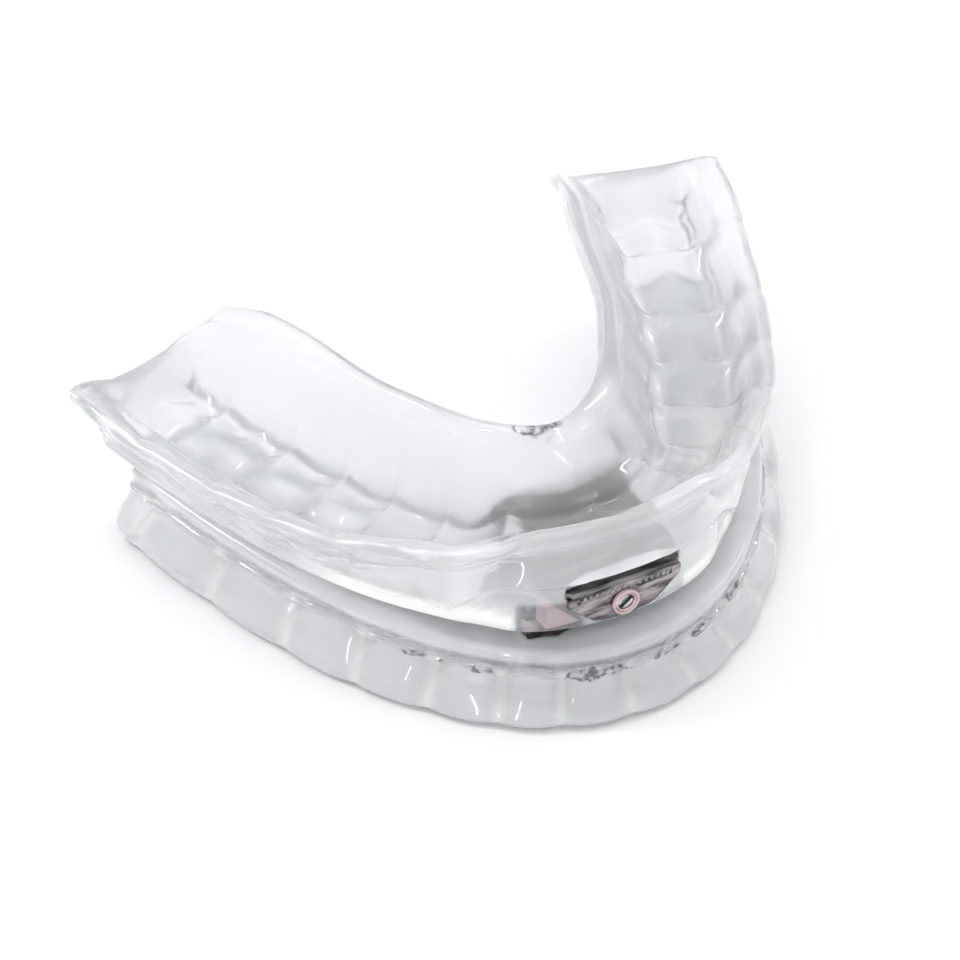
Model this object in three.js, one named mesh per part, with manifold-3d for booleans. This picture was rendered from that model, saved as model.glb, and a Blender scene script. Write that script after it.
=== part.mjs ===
// A two-piece clear oral splint: an upper and a lower tray, each a soft liner in a hard shell on a bite pad,
// coupled at the front by a screw-adjusted hook in the upper pad and a catch bar on the lower one.
// Millimetres, +Z up, the front teeth towards -Y, the wearer's left towards +X.
import * as THREE from "three";
import { mergeVertices } from "three/addons/utils/BufferGeometryUtils.js";
import Module from "manifold-3d";

const wasm = await Module();
wasm.setup();

// ---- Driving dimensions -------------------------------------------------------------------------
// The line through the middle of the teeth: half its width at the ends, its depth, and how much of the depth
// follows a square law (the rest follows a fourth power). front is the y of its middle, skew is how much
// further back the wearer's left end is than the mean of the two, and flare is how much further out it is.
const UPPER_ARCH = { halfWidth: 26.5, depth: 41.9, squareShare: 0.7, front: 0, skew: 2.8, flare: 1.6 };
const LOWER_ARCH = { halfWidth: 26, depth: 40.2, squareShare: 0.75, front: -3.9, skew: 0, flare: 1.5 };
const LINER = 0.8; // thickness of the soft layer
const SHELL = 1.0; // thickness of the hard layer
const JOIN = 0.3; // room left between bonded layers
const BITE_Z = 8.5; // underside of the upper bite pad
const PLATFORM_Z = 7.4; // edge of the lower bite pad's top, and the height of the lower tray
const STATION_STEP = 2.1; // spacing of the sections along an arch
const END_WALL = 5.6; // length over which a tooth trough closes at its far end
const END_WALL_DROP = 0.5; // how far the closed end stays below the rims
const END_WALL_RISE = 0.7; // below 1 it rises early from the outer rim to the inner one
const CLOSING_LAG = 1.0; // how much later the shell closes it than the liner
const END_TAPER = 4; // length over which a tray narrows at its far end
const END_TAPER_SHARE = 0.2;
const LINER_SHORT = 1; // how many sections the liner stops before the end of the shell
const PAD_CHAMFER = { wide: 0.4, high: 0.25 };

// Profiles along an arch: pairs of distance from the middle and value. n is measured outwards from the arch
// line and h from the bite plane towards the gums.
const UPPER = {
  arch: UPPER_ARCH,
  rimN: [[0, 5.5], [12, 6.7], [24, 7.4], [37, 7.8], [46, 8.4], [55, 8.3]],
  rimH: [[0, 10.6], [5, 10.6], [12, 8.6], [24, 7.1], [37, 7.0], [55, 8.5]],
  floorH: [[0, 6.6], [7, 6.4], [13, 4.0], [22, 3.3], [55, 3.3]],
  floorOut: [[0, 2.3], [12, 2.8], [22, 3.9], [55, 4.1]],
  floorIn: [[0, 1.6], [12, 2.4], [22, 3.9], [55, 4.1]],
  gumN: [[0, 2.6], [12, 3.4], [22, 4.6], [55, 4.8]],
  gumH: [[0, 8.4], [12, 7.2], [24, 6.2], [55, 6.4]],
  innerRimN: [[0, 6.5], [12, 6.7], [24, 7.2], [38, 8.2], [48, 7.7], [55, 6.9]],
  innerRimH: [[0, 11.8], [24, 12.0], [42, 12.0], [55, 8.6]],
  padN: [[0, 5.6], [6, 5.9], [10, 5.2], [14, 5.0], [55, 5.0]],
  padInN: [[0, 8.7], [6, 8.7], [12, 5.8], [55, 5.4]],
  padOutH: [[0, 5.2], [7, 5.2], [13, 0.8], [55, 0.7]],
  padInH: [[0, 5.6], [7, 5.6], [13, 0.8], [55, 0.7]],
  crown: [[0, 0.02], [55, 0.02]],
  ridge: [[0, 0], [16, 0.1], [24, 0.5], [55, 0.6]],
};
const LOWER = {
  arch: LOWER_ARCH,
  rimN: [[0, 5.7], [12, 6.0], [24, 6.4], [52, 6.2]],
  rimH: [[0, PLATFORM_Z], [52, PLATFORM_Z]],
  floorH: [[0, 3.2], [52, 3.1]],
  floorOut: [[0, 1.9], [10, 2.2], [20, 3.6], [52, 3.9]],
  floorIn: [[0, 1.2], [10, 1.6], [20, 3.4], [52, 3.7]],
  gumN: [[0, 1.9], [10, 2.2], [20, 3.5], [52, 3.8]],
  gumH: [[0, 5.2], [52, 5.2]],
  innerRimN: [[0, 2.2], [10, 2.5], [20, 3.6], [52, 3.9]],
  innerRimH: [[0, PLATFORM_Z], [52, PLATFORM_Z]],
  padN: [[0, 4.3], [24, 4.3], [52, 4.3]],
  padInN: [[0, 3.9], [20, 4.5], [52, 4.4]],
  padOutH: [[0, 0.6], [52, 0.6]],
  padInH: [[0, 0.6], [52, 0.6]],
  crown: [[0, 0.02], [12, 0.02], [20, 0.7], [40, 0.7], [47, 0.4], [52, 0.4]],
  ridge: [[0, 0], [16, 0.1], [24, 0.5], [52, 0.6]],
};

// The coupling, in the same frame. SCREW_Z is the lead screw's axis and BAR_Y, BAR_Z the catch bar's.
const HOUSING = {
  topHalf: 5.4,
  bottomHalf: 3.2,
  front: -5.4,
  back: 7.1,
  low: BITE_Z + 0.3,
  high: BITE_Z + 3.6,
  wall: 0.3,
  floorRise: 0.45, // how far the flanks start above the belly
};
const CAVITY = { bottomHalf: 2.5, topHalf: 4.6, flankRise: 0.3, back: HOUSING.back - 0.9 };
const FLOOR_SLOT = { half: 1.5, front: -2.6 }; // where the carriage's neck runs
const FRONT_KEYS = { count: 16, reach: 4.4, half: 0.14, low: 0.75, high: 0.25, depth: 0.3 };
const BEVEL_Z = BITE_Z + 2.7; // where the housing's bevelled flanks meet its upright ones
const FRONT_WALL = 1.3;
const COVER = {
  low: HOUSING.high + 0.05,
  high: HOUSING.high + 0.55,
  lip: 0.05,
  frontCorner: 0.5,
  backCorner: 1.2,
};
const COVER_HOLES = { r: 0.6, x: [-2.6, 0, 2.6], y: [-2.6, 0.4, 3.4] };
const RIVET = { r: 0.32, headR: 0.52, head: 0.12, room: 0.06, x: 4.95, front: -4.2, back: 5.3 };
const POCKET_ROOM = 0.3; // room between the housing and the pad cast round it
const TAIL_ROOM = 0.9; // and behind it, for the screw's tail
const NECK_CHANNEL_HALF = 2.2; // the channel in the pad's underside that the carriage's neck runs in
const SCREW_Z = BITE_Z + 1.6;
const PITCH = 0.5;
const THREAD_R = 0.7;
const HEAD_R = 0.72;
const TAIL_R = 0.42;
const WASHER_R = 0.95;
const CLIP_R = 1.0;
const KEY_SLOT = { length: 1.0, width: 0.36, back: -4.65, turn: THREE.MathUtils.degToRad(40) };
const BUSH_R = 1.05;
const SEAL_R = 1.4;
const RUNNING = 0.05; // radial room of a turning fit
const HEAD_PROUD = 0.25; // how far the screw's head stands out of the housing
const TAIL_REACH = 0.6; // and its tail
const THREAD_DEPTH = 0.12;
const CARRIAGE = { front: 4.2, back: 6.0, half: 4.3, bottomHalf: 2.2, neckHalf: 1.3 };
const CROSSHEAD = { low: BITE_Z - 2.6, high: BITE_Z - 0.35, half: 4.3 };
// The T groove in the crosshead, measured up from its underside, and the hook's T head that slides in it.
const T_GROOVE = { neck: 0.45, head: 0.85, shelf: 0.7, roof: 1.5 };
const T_HEAD = { neck: 0.35, head: 0.75, shelf: 0.8, roof: 1.4 };
const BAR = { y: 3.4, z: 4.6, r: 0.8, half: 6.1 };
const ARM = { inner: 4.6, outer: 5.8 };
const HOOK_HALF = 1.3;
// The catch plate's plan: its front edge steps back at stepX, to the wearer's left of it.
const PLATE = {
  top: PLATFORM_Z + 0.15,
  low: PLATFORM_Z - 0.6,
  left: -8.4,
  right: 6.8,
  front: -4.2,
  stepX: -3.4,
  stepFront: -3.4,
  back: -0.4,
};
const PLATE_HOLES = { r: 0.55, x: [-6.2, -2.1, 2.1, 4.6], y: -2.4 };
const PLATE_ROOM = 0.2;
const SHIM = {
  outer: -6.9,
  inner: -3.9,
  bevel: -6.0,
  low: BITE_Z + 0.35,
  high: BEVEL_Z - 0.35,
  front: -4.2,
  back: 0,
};
const SHIM_ROOM = 0.2;
const ROUND_SEGMENTS = 16;
const HOLE_SEGMENTS = 10;

// ---- Small helpers ------------------------------------------------------------------------------
// The value of a profile at distance a from the middle, eased between its points.
function profile(points, a) {
  const i = Math.max(1, points.findIndex(([at]) => at >= a));
  const [[a0, v0], [a1, v1]] = [points[i - 1], points[i]];
  const t = THREE.MathUtils.clamp((a - a0) / (a1 - a0), 0, 1);
  return THREE.MathUtils.lerp(v0, v1, t * t * (3 - 2 * t));
}

// The arch line by arc length: at(s) gives the point and the outward direction, length is half the whole.
function archLine({ halfWidth, depth, squareShare, front, skew, flare }) {
  const samples = 400;
  const rise = (u) => depth * (squareShare * u ** 2 + (1 - squareShare) * u ** 4);
  const place = (u) => [halfWidth * u, front + rise(u)];
  const table = [[0, 0]];
  for (let i = 1; i <= samples; i++) {
    const [x0, y0] = place((i - 1) / samples);
    const [x1, y1] = place(i / samples);
    table.push([table[i - 1][0] + Math.hypot(x1 - x0, y1 - y0), i / samples]);
  }
  const at = (s) => {
    const a = Math.min(Math.abs(s), table[samples][0]);
    const i = Math.max(1, table.findIndex(([l]) => l >= a));
    const [[l0, u0], [l1, u1]] = [table[i - 1], table[i]];
    const u = u0 + ((a - l0) / (l1 - l0)) * (u1 - u0);
    const [x, y] = place(u);
    const side = Math.sign(s) || 1;
    const even = depth * (2 * squareShare * u + 4 * (1 - squareShare) * u ** 3);
    const left = side > 0 ? flare : 0;
    const slope = (even + 3 * side * skew * u ** 2) / (halfWidth + 6 * left * u * (1 - u));
    const size = Math.hypot(1, slope);
    return {
      x: side * x + left * u ** 2 * (3 - 2 * u),
      y: y + side * skew * u ** 3,
      nx: (side * slope) / size,
      ny: -1 / size,
    };
  };
  return { at, length: table[samples][0] };
}

// Turns a geometry's faces outwards if its signed volume is negative.
function facingOut(geometry) {
  const p = geometry.getAttribute("position");
  const index = geometry.getIndex().array;
  const [a, b, c] = [new THREE.Vector3(), new THREE.Vector3(), new THREE.Vector3()];
  let volume = 0;
  for (let i = 0; i < index.length; i += 3) {
    a.fromBufferAttribute(p, index[i]);
    b.fromBufferAttribute(p, index[i + 1]);
    c.fromBufferAttribute(p, index[i + 2]);
    volume += a.dot(b.cross(c));
  }
  if (volume < 0) {
    for (let i = 0; i < index.length; i += 3) {
      [index[i + 1], index[i + 2]] = [index[i + 2], index[i + 1]];
    }
  }
  return geometry;
}

// A closed solid through the outlines of [n, z] points that sectionAt gives along the arch, capped at both
// ends. Every solid on an arch shares its stations, and short is how many it leaves out at each end.
function sweep(line, short, sectionAt) {
  const stations = Math.round((2 * line.length) / STATION_STEP);
  const spacing = (2 * line.length) / stations;
  const count = stations - 2 * short;
  const vertices = [];
  const outlines = [];
  let size = 0;
  for (let i = 0; i <= count; i++) {
    const s = -line.length + spacing * (i + short);
    const { x, y, nx, ny } = line.at(s);
    const outline = sectionAt(s);
    size = outline.length;
    outlines.push(outline);
    for (const [n, z] of outline) vertices.push(x + nx * n, y + ny * n, z);
  }
  const index = [];
  for (let i = 0; i < count; i++)
    for (let j = 0; j < size; j++) {
      const [a, b] = [i * size + j, i * size + ((j + 1) % size)];
      index.push(a, b, b + size, a, b + size, a + size);
    }
  const caps = [
    [outlines[0], 0, true],
    [outlines[count], count * size, false],
  ];
  for (const [outline, first, turned] of caps) {
    const contour = outline.map(([n, z]) => new THREE.Vector2(n, z));
    const wound = THREE.ShapeUtils.isClockWise(contour) ? -1 : 1;
    for (const [a, b, c] of THREE.ShapeUtils.triangulateShape(contour, []))
      index.push(...(turned === wound > 0 ? [a, c, b] : [a, b, c]).map((k) => k + first));
  }
  const geometry = new THREE.BufferGeometry();
  geometry.setAttribute("position", new THREE.Float32BufferAttribute(vertices, 3));
  geometry.setIndex(index);
  return facingOut(geometry);
}

// A geometry as a manifold-3d solid, and back.
function solid(geometry) {
  const bare = geometry.clone();
  for (const name of ["normal", "uv"]) bare.deleteAttribute(name);
  const merged = mergeVertices(bare, 1e-4);
  const all = merged.getIndex().array;
  const kept = [];
  for (let i = 0; i < all.length; i += 3) {
    const corners = [all[i], all[i + 1], all[i + 2]];
    if (new Set(corners).size === 3) kept.push(...corners); // a lathe's poles leave triangles of no area
  }
  merged.setIndex(kept);
  facingOut(merged);
  return new wasm.Manifold(new wasm.Mesh({
    numProp: 3,
    vertProperties: merged.getAttribute("position").array,
    triVerts: new Uint32Array(merged.getIndex().array),
  }));
}
function geometryOf(made) {
  const mesh = made.getMesh();
  const geometry = new THREE.BufferGeometry();
  geometry.setAttribute("position", new THREE.Float32BufferAttribute(mesh.vertProperties, 3));
  geometry.setIndex([...mesh.triVerts]);
  return geometry;
}

// Solids along the axes: a box between two corners, a cylinder along y, x or z, a turned piece along y, and
// an outline pushed along y, x or z.
function block([x0, y0, z0], [x1, y1, z1]) {
  const box = new THREE.BoxGeometry(x1 - x0, y1 - y0, z1 - z0);
  return solid(box.translate((x0 + x1) / 2, (y0 + y1) / 2, (z0 + z1) / 2));
}
function rodY(r, y0, y1, z, x = 0) {
  return solid(new THREE.CylinderGeometry(r, r, y1 - y0, ROUND_SEGMENTS).translate(x, (y0 + y1) / 2, z));
}
function rodX(r, x0, x1, y, z) {
  const rod = new THREE.CylinderGeometry(r, r, x1 - x0, ROUND_SEGMENTS);
  return solid(rod.rotateZ(Math.PI / 2).translate((x0 + x1) / 2, y, z));
}
function rodZ(r, x, y, z0, z1) {
  const rod = new THREE.CylinderGeometry(r, r, z1 - z0, HOLE_SEGMENTS);
  return solid(rod.rotateX(Math.PI / 2).translate(x, y, (z0 + z1) / 2));
}
function turnedY(points, z) {
  const profilePoints = points.map(([r, y]) => new THREE.Vector2(r, y));
  return solid(new THREE.LatheGeometry(profilePoints, ROUND_SEGMENTS).translate(0, 0, z));
}
function shapeOf(points) {
  return new THREE.Shape(points.map(([u, v]) => new THREE.Vector2(u, v)));
}
function pushedY(points, y0, y1) {
  const g = new THREE.ExtrudeGeometry(shapeOf(points), { depth: y1 - y0, bevelEnabled: false });
  return solid(g.rotateX(Math.PI / 2).translate(0, y1, 0)); // the outline's u, v are x, z
}
function pushedX(points, x0, x1) {
  const g = new THREE.ExtrudeGeometry(shapeOf(points), { depth: x1 - x0, bevelEnabled: false });
  return solid(g.rotateX(Math.PI / 2).rotateZ(Math.PI / 2).translate(x0, 0, 0)); // u, v are y, z
}
function pushedZ(points, z0, z1) {
  const g = new THREE.ExtrudeGeometry(shapeOf(points), { depth: z1 - z0, bevelEnabled: false });
  return solid(g.translate(0, 0, z0));
}
function ringY(outer, inner, y0, y1) {
  return rodY(outer, y0, y1, SCREW_Z).subtract(rodY(inner, y0 - 1, y1 + 1, SCREW_Z));
}

// ---- Trays --------------------------------------------------------------------------------------
// The tooth side of a tray's section, from the outer rim over the trough's floor to the inner rim. Where
// raised is true the floor rises to close the trough's far end, lag further along.
function toothSide(tray, s, length, raised, lag = 0) {
  const a = Math.abs(s);
  const v = (name) => profile(tray[name], a);
  const rim = v("rimH");
  const floor = v("floorH");
  const points = [
    [v("rimN") - LINER - JOIN - SHELL, rim],
    [v("floorOut") + 0.55, THREE.MathUtils.lerp(floor, rim, 0.5)],
    [v("floorOut"), floor + 0.8],
    [v("floorOut") * 0.6, floor],
    [0, floor + v("ridge")],
    [-v("floorIn") * 0.6, floor],
    [-v("floorIn"), floor + 0.8],
    [-v("gumN"), v("gumH")],
    [-v("innerRimN"), v("innerRimH")],
  ];
  const closing = THREE.MathUtils.smoothstep(a - lag, length - END_WALL, length - STATION_STEP + 0.3);
  const last = points.length - 1;
  return points.map(([n, h], i) => {
    const wall = THREE.MathUtils.lerp(rim, v("innerRimH"), (i / last) ** END_WALL_RISE) - END_WALL_DROP;
    return [n, raised && h < wall ? THREE.MathUtils.lerp(h, wall, closing) : h];
  });
}

// A line moved by distance to its outer side, which is left of its direction.
function offset(line, distance) {
  return line.map(([n, h], i) => {
    const [n0, h0] = line[Math.max(0, i - 1)];
    const [n1, h1] = line[Math.min(line.length - 1, i + 1)];
    const size = Math.hypot(n1 - n0, h1 - h0);
    const isEnd = i === 0 || i === line.length - 1; // the rims stay level
    return [n - (distance * (h1 - h0)) / size, isEnd ? h : h + (distance * (n1 - n0)) / size];
  });
}

// The three layers of a tray as swept solids. toZ turns a height from the bite plane into z.
function trayLayers(tray, toZ) {
  const line = archLine(tray.arch);
  const length = line.length;
  const intoTaper = (a) => THREE.MathUtils.clamp((a - length + END_TAPER) / END_TAPER, 0, 1);
  const taper = (a) => 1 - END_TAPER_SHARE * intoTaper(a) ** 2;
  const placed = (outline, s) => outline.map(([n, h]) => [n * taper(Math.abs(s)), toZ(h)]);
  const layer = (short, outlineAt) => sweep(line, short, (s) => placed(outlineAt(s), s));
  const liner = layer(LINER_SHORT, (s) => {
    const tooth = toothSide(tray, s, length, true);
    return [...tooth, ...offset(tooth, LINER).reverse()];
  });
  const shell = layer(0, (s) => {
    const inside = offset(toothSide(tray, s, length, true, CLOSING_LAG), LINER + JOIN);
    const outside = offset(toothSide(tray, s, length, false), LINER + JOIN + SHELL);
    return [...inside, ...outside.reverse()];
  });
  const pad = layer(0, (s) => {
    const a = Math.abs(s);
    const under = offset(toothSide(tray, s, length, false), LINER + JOIN + SHELL + JOIN).slice(2, 7);
    const crown = profile(tray.crown, a);
    const [out, inner] = [profile(tray.padN, a), profile(tray.padInN, a)];
    const foot = [
      [-inner, PAD_CHAMFER.high],
      [-inner + PAD_CHAMFER.wide, 0],
      [-inner / 2, -crown],
      [out / 2, -crown],
      [out - PAD_CHAMFER.wide, 0],
      [out, PAD_CHAMFER.high],
    ];
    return [...under, [-inner, profile(tray.padInH, a)], ...foot, [out, profile(tray.padOutH, a)]];
  });
  return { liner, shell, pad };
}

// ---- Coupling -----------------------------------------------------------------------------------
// The housing's front outline: a flat top and flanks bevelled in towards the bottom, grown by room.
function housingOutline(room) {
  const { topHalf, bottomHalf, low, high } = HOUSING;
  const [top, bottom] = [topHalf + room, bottomHalf + room];
  const belly = (bottom * 2) / 3;
  return [
    [-belly, low - room],
    [belly, low - room],
    [bottom, low + HOUSING.floorRise],
    [top, BEVEL_Z],
    [top, high],
    [-top, high],
    [-top, BEVEL_Z],
    [-bottom, low + HOUSING.floorRise],
  ];
}

// The cast channel that holds the screw: a port bored through its front wall, a slot along its floor for the
// carriage's neck, and a row of fine keys in its front for the pad to grip.
function hookHousing() {
  const { front, back, low, high, wall } = HOUSING;
  const { bottomHalf, topHalf, flankRise } = CAVITY;
  const inner = [
    [-bottomHalf, low + wall],
    [bottomHalf, low + wall],
    [topHalf, BEVEL_Z + flankRise],
    [topHalf, high + 1],
    [-topHalf, high + 1],
    [-topHalf, BEVEL_Z + flankRise],
  ];
  const slotHalf = FLOOR_SLOT.half;
  const slot = block([-slotHalf, FLOOR_SLOT.front, low - 1], [slotHalf, CAVITY.back, low + wall]);
  let made = pushedY(housingOutline(0), front, back);
  made = made.subtract(pushedY(inner, front + FRONT_WALL, CAVITY.back));
  made = made.subtract(slot);
  made = made.subtract(rodY(BUSH_R, front - 1, front + FRONT_WALL + 0.5, SCREW_Z));
  made = made.subtract(rodY(TAIL_R + RUNNING, CAVITY.back - 0.5, back + 1, SCREW_Z));
  const { count, reach, half, depth } = FRONT_KEYS;
  for (let i = 0; i < count; i++) {
    const x = reach * ((2 * i) / (count - 1) - 1);
    const cornerA = [x - half, front - 1, high - FRONT_KEYS.low];
    const cornerB = [x + half, front + depth, high - FRONT_KEYS.high];
    made = made.subtract(block(cornerA, cornerB));
  }
  return geometryOf(made);
}

// The flat cover over the channel, with holes that key it to the pad and holes for its four rivets.
const RIVET_AT = [RIVET.front, RIVET.back].flatMap((y) => [[-RIVET.x, y], [RIVET.x, y]]);
function coverPlate() {
  const { low, high, frontCorner, backCorner } = COVER;
  const { front, back } = HOUSING;
  const half = HOUSING.topHalf + COVER.lip;
  const rightSide = [
    [half - frontCorner, front],
    [half, front + frontCorner],
    [half, back - backCorner],
    [half - backCorner, back],
  ];
  const leftSide = rightSide.map(([x, y]) => [-x, y]).reverse();
  let made = pushedZ([...rightSide, ...leftSide], low, high);
  for (const x of COVER_HOLES.x) {
    for (const y of COVER_HOLES.y) made = made.subtract(rodZ(COVER_HOLES.r, x, y, low - 1, high + 1));
  }
  for (const [x, y] of RIVET_AT) made = made.subtract(rodZ(RIVET.r + RIVET.room, x, y, low - 1, high + 1));
  return geometryOf(made);
}
function coverRivet([x, y]) {
  const shoulder = COVER.high + 0.02;
  const stem = rodZ(RIVET.r, x, y, HOUSING.high + 0.02, shoulder);
  return geometryOf(stem.add(rodZ(RIVET.headR, x, y, shoulder, shoulder + RIVET.head)));
}

// The lead screw: a head with a key slot in the port, a thread drawn as rings, a plain tail.
function leadScrew() {
  const headFront = HOUSING.front - HEAD_PROUD;
  const headBack = HOUSING.front + FRONT_WALL + 0.1;
  const threadBack = CAVITY.back - 0.1;
  const tailBack = HOUSING.back + TAIL_REACH;
  const root = THREAD_R - THREAD_DEPTH;
  const points = [[0, headFront], [HEAD_R, headFront], [HEAD_R, headBack], [root, headBack]];
  for (let y = headBack + 0.6; y < threadBack - 0.7; y += 2 * PITCH) {
    points.push([root, y], [THREAD_R, y + PITCH / 4], [THREAD_R, y + PITCH / 2], [root, y + PITCH * 0.75]);
  }
  points.push([root, threadBack], [TAIL_R, threadBack], [TAIL_R, tailBack], [0, tailBack]);
  const slot = new THREE.BoxGeometry(KEY_SLOT.length, 2, KEY_SLOT.width).rotateY(-KEY_SLOT.turn);
  slot.translate(0, KEY_SLOT.back - 1, SCREW_Z);
  return geometryOf(turnedY(points, SCREW_Z).subtract(solid(slot)));
}

// A T outline, mirrored about y: up the neck to the shelf, out to the head, and up to the roof.
function tOutline(middle, base, { neck, head, shelf, roof }, foot) {
  const half = [[neck, base - foot], [neck, base + shelf], [head, base + shelf], [head, base + roof]];
  const left = half.map(([y, z]) => [middle - y, z]);
  const right = half.map(([y, z]) => [middle + y, z]).reverse();
  return { left, right };
}

// The carriage: a nut on the screw, a neck through the slot, and a crosshead with a T groove along x.
function hookCarriage() {
  const { front, back, half, bottomHalf, neckHalf } = CARRIAGE;
  const nutLow = HOUSING.low + HOUSING.wall + 0.1;
  const nutHigh = HOUSING.high - 0.1;
  const nut = [
    [-bottomHalf, nutLow],
    [bottomHalf, nutLow],
    [half, BEVEL_Z + 0.5],
    [half, nutHigh],
    [-half, nutHigh],
    [-half, BEVEL_Z + 0.5],
  ];
  let made = pushedY(nut, front, back);
  made = made.add(block([-neckHalf, front, CROSSHEAD.high - 0.2], [neckHalf, back, nutLow + 0.2]));
  made = made.add(block([-CROSSHEAD.half, front, CROSSHEAD.low], [CROSSHEAD.half, back, CROSSHEAD.high]));
  made = made.subtract(rodY(THREAD_R + RUNNING, front - 1, back + 1, SCREW_Z));
  const { left, right } = tOutline((front + back) / 2, CROSSHEAD.low, T_GROOVE, 1);
  const grooveHalf = CROSSHEAD.half - 0.5;
  return geometryOf(made.subtract(pushedX([...left, ...right], -grooveHalf, grooveHalf)));
}

// The hook: a T head in the crosshead, a blade behind the bar and a toe under it.
function hook() {
  const middle = (CARRIAGE.front + CARRIAGE.back) / 2;
  const { left, right } = tOutline(middle, CROSSHEAD.low, T_HEAD, 0.3);
  const { y, z, r } = BAR;
  const mouth = [
    [y + r + 0.1, z + 0.7],
    [y + r + 0.1, z - 0.55],
    [y + 0.3, z - r - 0.12],
    [y - 0.7, z - r - 0.12],
  ];
  const toe = [
    [y - 0.9, z - r + 0.1],
    [y - 1.1, z - r - 0.3],
    [y - 0.6, z - r - 1.1],
    [y + 1.4, z - r - 1.1],
    [middle + 0.1, z - 0.9],
  ];
  const outline = [...left.reverse(), ...mouth, ...toe, ...right.reverse()];
  return geometryOf(pushedX(outline, -HOOK_HALF, HOOK_HALF));
}

// The catch plate: a thin plate let into the lower pad, with two arms that reach back and carry the bar.
function platePlan(room) {
  const { left, right, front, stepX, stepFront, back } = PLATE;
  return [
    [right + room - 0.6, back + room],
    [right + room, back - 0.6],
    [right + room - 0.2, back - 2.2],
    [right - 2, stepFront - room],
    [stepX + room, stepFront - room],
    [stepX + room - 1.2, front + 0.35 - room],
    [stepX - 2.4, front - room],
    [left + 1.2, front + 0.6 - room],
    [left - room + 0.2, back - 3],
    [left - room, back - 0.6],
    [left - room + 0.6, back + room],
  ];
}
function catchPlate() {
  const { low, top } = PLATE;
  const { y, z } = BAR;
  const arm = [
    [-1.6, low + 0.02],
    [-1.6, top],
    [y - 0.8, top],
    [y + 1.0, z + 0.7],
    [y + 1.3, z - 0.6],
    [y + 0.7, z - 1.3],
    [y - 0.7, z - 1.3],
    [y - 1.2, z - 0.6],
    [y - 1.2, low + 0.02],
  ];
  let made = pushedZ(platePlan(0), low, top);
  made = made.add(pushedX(arm, -ARM.outer, -ARM.inner)).add(pushedX(arm, ARM.inner, ARM.outer));
  made = made.subtract(rodX(BAR.r + RUNNING, -ARM.outer - 1, ARM.outer + 1, y, z));
  for (const x of PLATE_HOLES.x) {
    made = made.subtract(rodZ(PLATE_HOLES.r, x, PLATE_HOLES.y, low - 1, top + 1));
  }
  return geometryOf(made);
}

// ---- Assembly -----------------------------------------------------------------------------------
const CLEAR = { color: 0xe6ebee, roughness: 0.08, metalness: 0 };
const SOFT_CLEAR = { ...CLEAR, roughness: 0.15 };
const STEEL = { color: 0x77787a, roughness: 0.35, metalness: 1 };
const DARK_STEEL = { ...STEEL, color: 0x5c5a58 };
const BRIGHT_STEEL = { ...STEEL, color: 0xc2bbb9 };
const PINK = { color: 0xe3a9b4, roughness: 0.5, metalness: 0 };
const group = new THREE.Group();
function add(name, geometry, look) {
  const mesh = new THREE.Mesh(geometry, new THREE.MeshStandardMaterial(look));
  mesh.name = name;
  group.add(mesh);
}

const upper = trayLayers(UPPER, (h) => BITE_Z + h);
const lower = trayLayers(LOWER, (h) => PLATFORM_Z - h);
const pocketFront = HOUSING.front - 3;
const pocketOutline = housingOutline(POCKET_ROOM).map(([x, z]) => [
  x,
  z === HOUSING.high ? COVER.high + POCKET_ROOM : z,
]);
const neckChannel = block(
  [-NECK_CHANNEL_HALF, pocketFront, BITE_Z - 1],
  [NECK_CHANNEL_HALF, HOUSING.back + 0.3, HOUSING.low],
);
const pocket = pushedY(pocketOutline, pocketFront, HOUSING.back + TAIL_ROOM).add(neckChannel);
const shimOutline = [
  [SHIM.outer, SHIM.low],
  [SHIM.inner, SHIM.low],
  [SHIM.bevel, SHIM.high],
  [SHIM.outer, SHIM.high],
];
const shimRoomOutline = [
  [SHIM.outer - SHIM_ROOM, SHIM.low - SHIM_ROOM],
  [SHIM.inner + 2 * SHIM_ROOM, SHIM.low - SHIM_ROOM],
  [SHIM.inner + 2 * SHIM_ROOM, SHIM.low + 0.45],
  [SHIM.bevel + SHIM_ROOM, BEVEL_Z],
  [SHIM.outer - SHIM_ROOM, BEVEL_Z],
];
const shimRoom = pushedY(shimRoomOutline, pocketFront, SHIM.back + SHIM_ROOM);
const armRoom = block(
  [-ARM.outer - PLATE_ROOM, -1.8, PLATE.low - PLATE_ROOM],
  [ARM.outer + PLATE_ROOM, 6, PLATFORM_Z + 2],
).add(block([-ARM.outer - PLATE_ROOM, BAR.y - 1.4, 0.5], [ARM.outer + PLATE_ROOM, 6, PLATFORM_Z + 2]));
const plateRoom = pushedZ(platePlan(PLATE_ROOM), PLATE.low - PLATE_ROOM, PLATFORM_Z + 2).add(armRoom);

add("upper_liner", upper.liner, SOFT_CLEAR);
add("upper_shell", geometryOf(solid(upper.shell).subtract(solid(upper.liner))), CLEAR);
add("upper_bite_pad", geometryOf(solid(upper.pad).subtract(pocket).subtract(shimRoom)), CLEAR);
add("lower_liner", lower.liner, SOFT_CLEAR);
add("lower_shell", lower.shell, CLEAR);
add("lower_bite_pad", geometryOf(solid(lower.pad).subtract(plateRoom).subtract(solid(lower.shell))), CLEAR);
add("hook_housing", hookHousing(), STEEL);
add("cover_plate", coverPlate(), DARK_STEEL);
RIVET_AT.forEach((at, i) => add(`cover_rivet_${i + 1}`, coverRivet(at), STEEL));
add("lead_screw", leadScrew(), BRIGHT_STEEL);
const boreBack = HOUSING.front + FRONT_WALL;
const bushing = ringY(BUSH_R - 0.03, HEAD_R + RUNNING, HOUSING.front - 0.3, boreBack);
add("port_bushing", geometryOf(bushing), BRIGHT_STEEL);
const washer = ringY(WASHER_R, THREAD_R + RUNNING, boreBack + 0.15, boreBack + 0.5);
add("thrust_washer", geometryOf(washer), STEEL);
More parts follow.
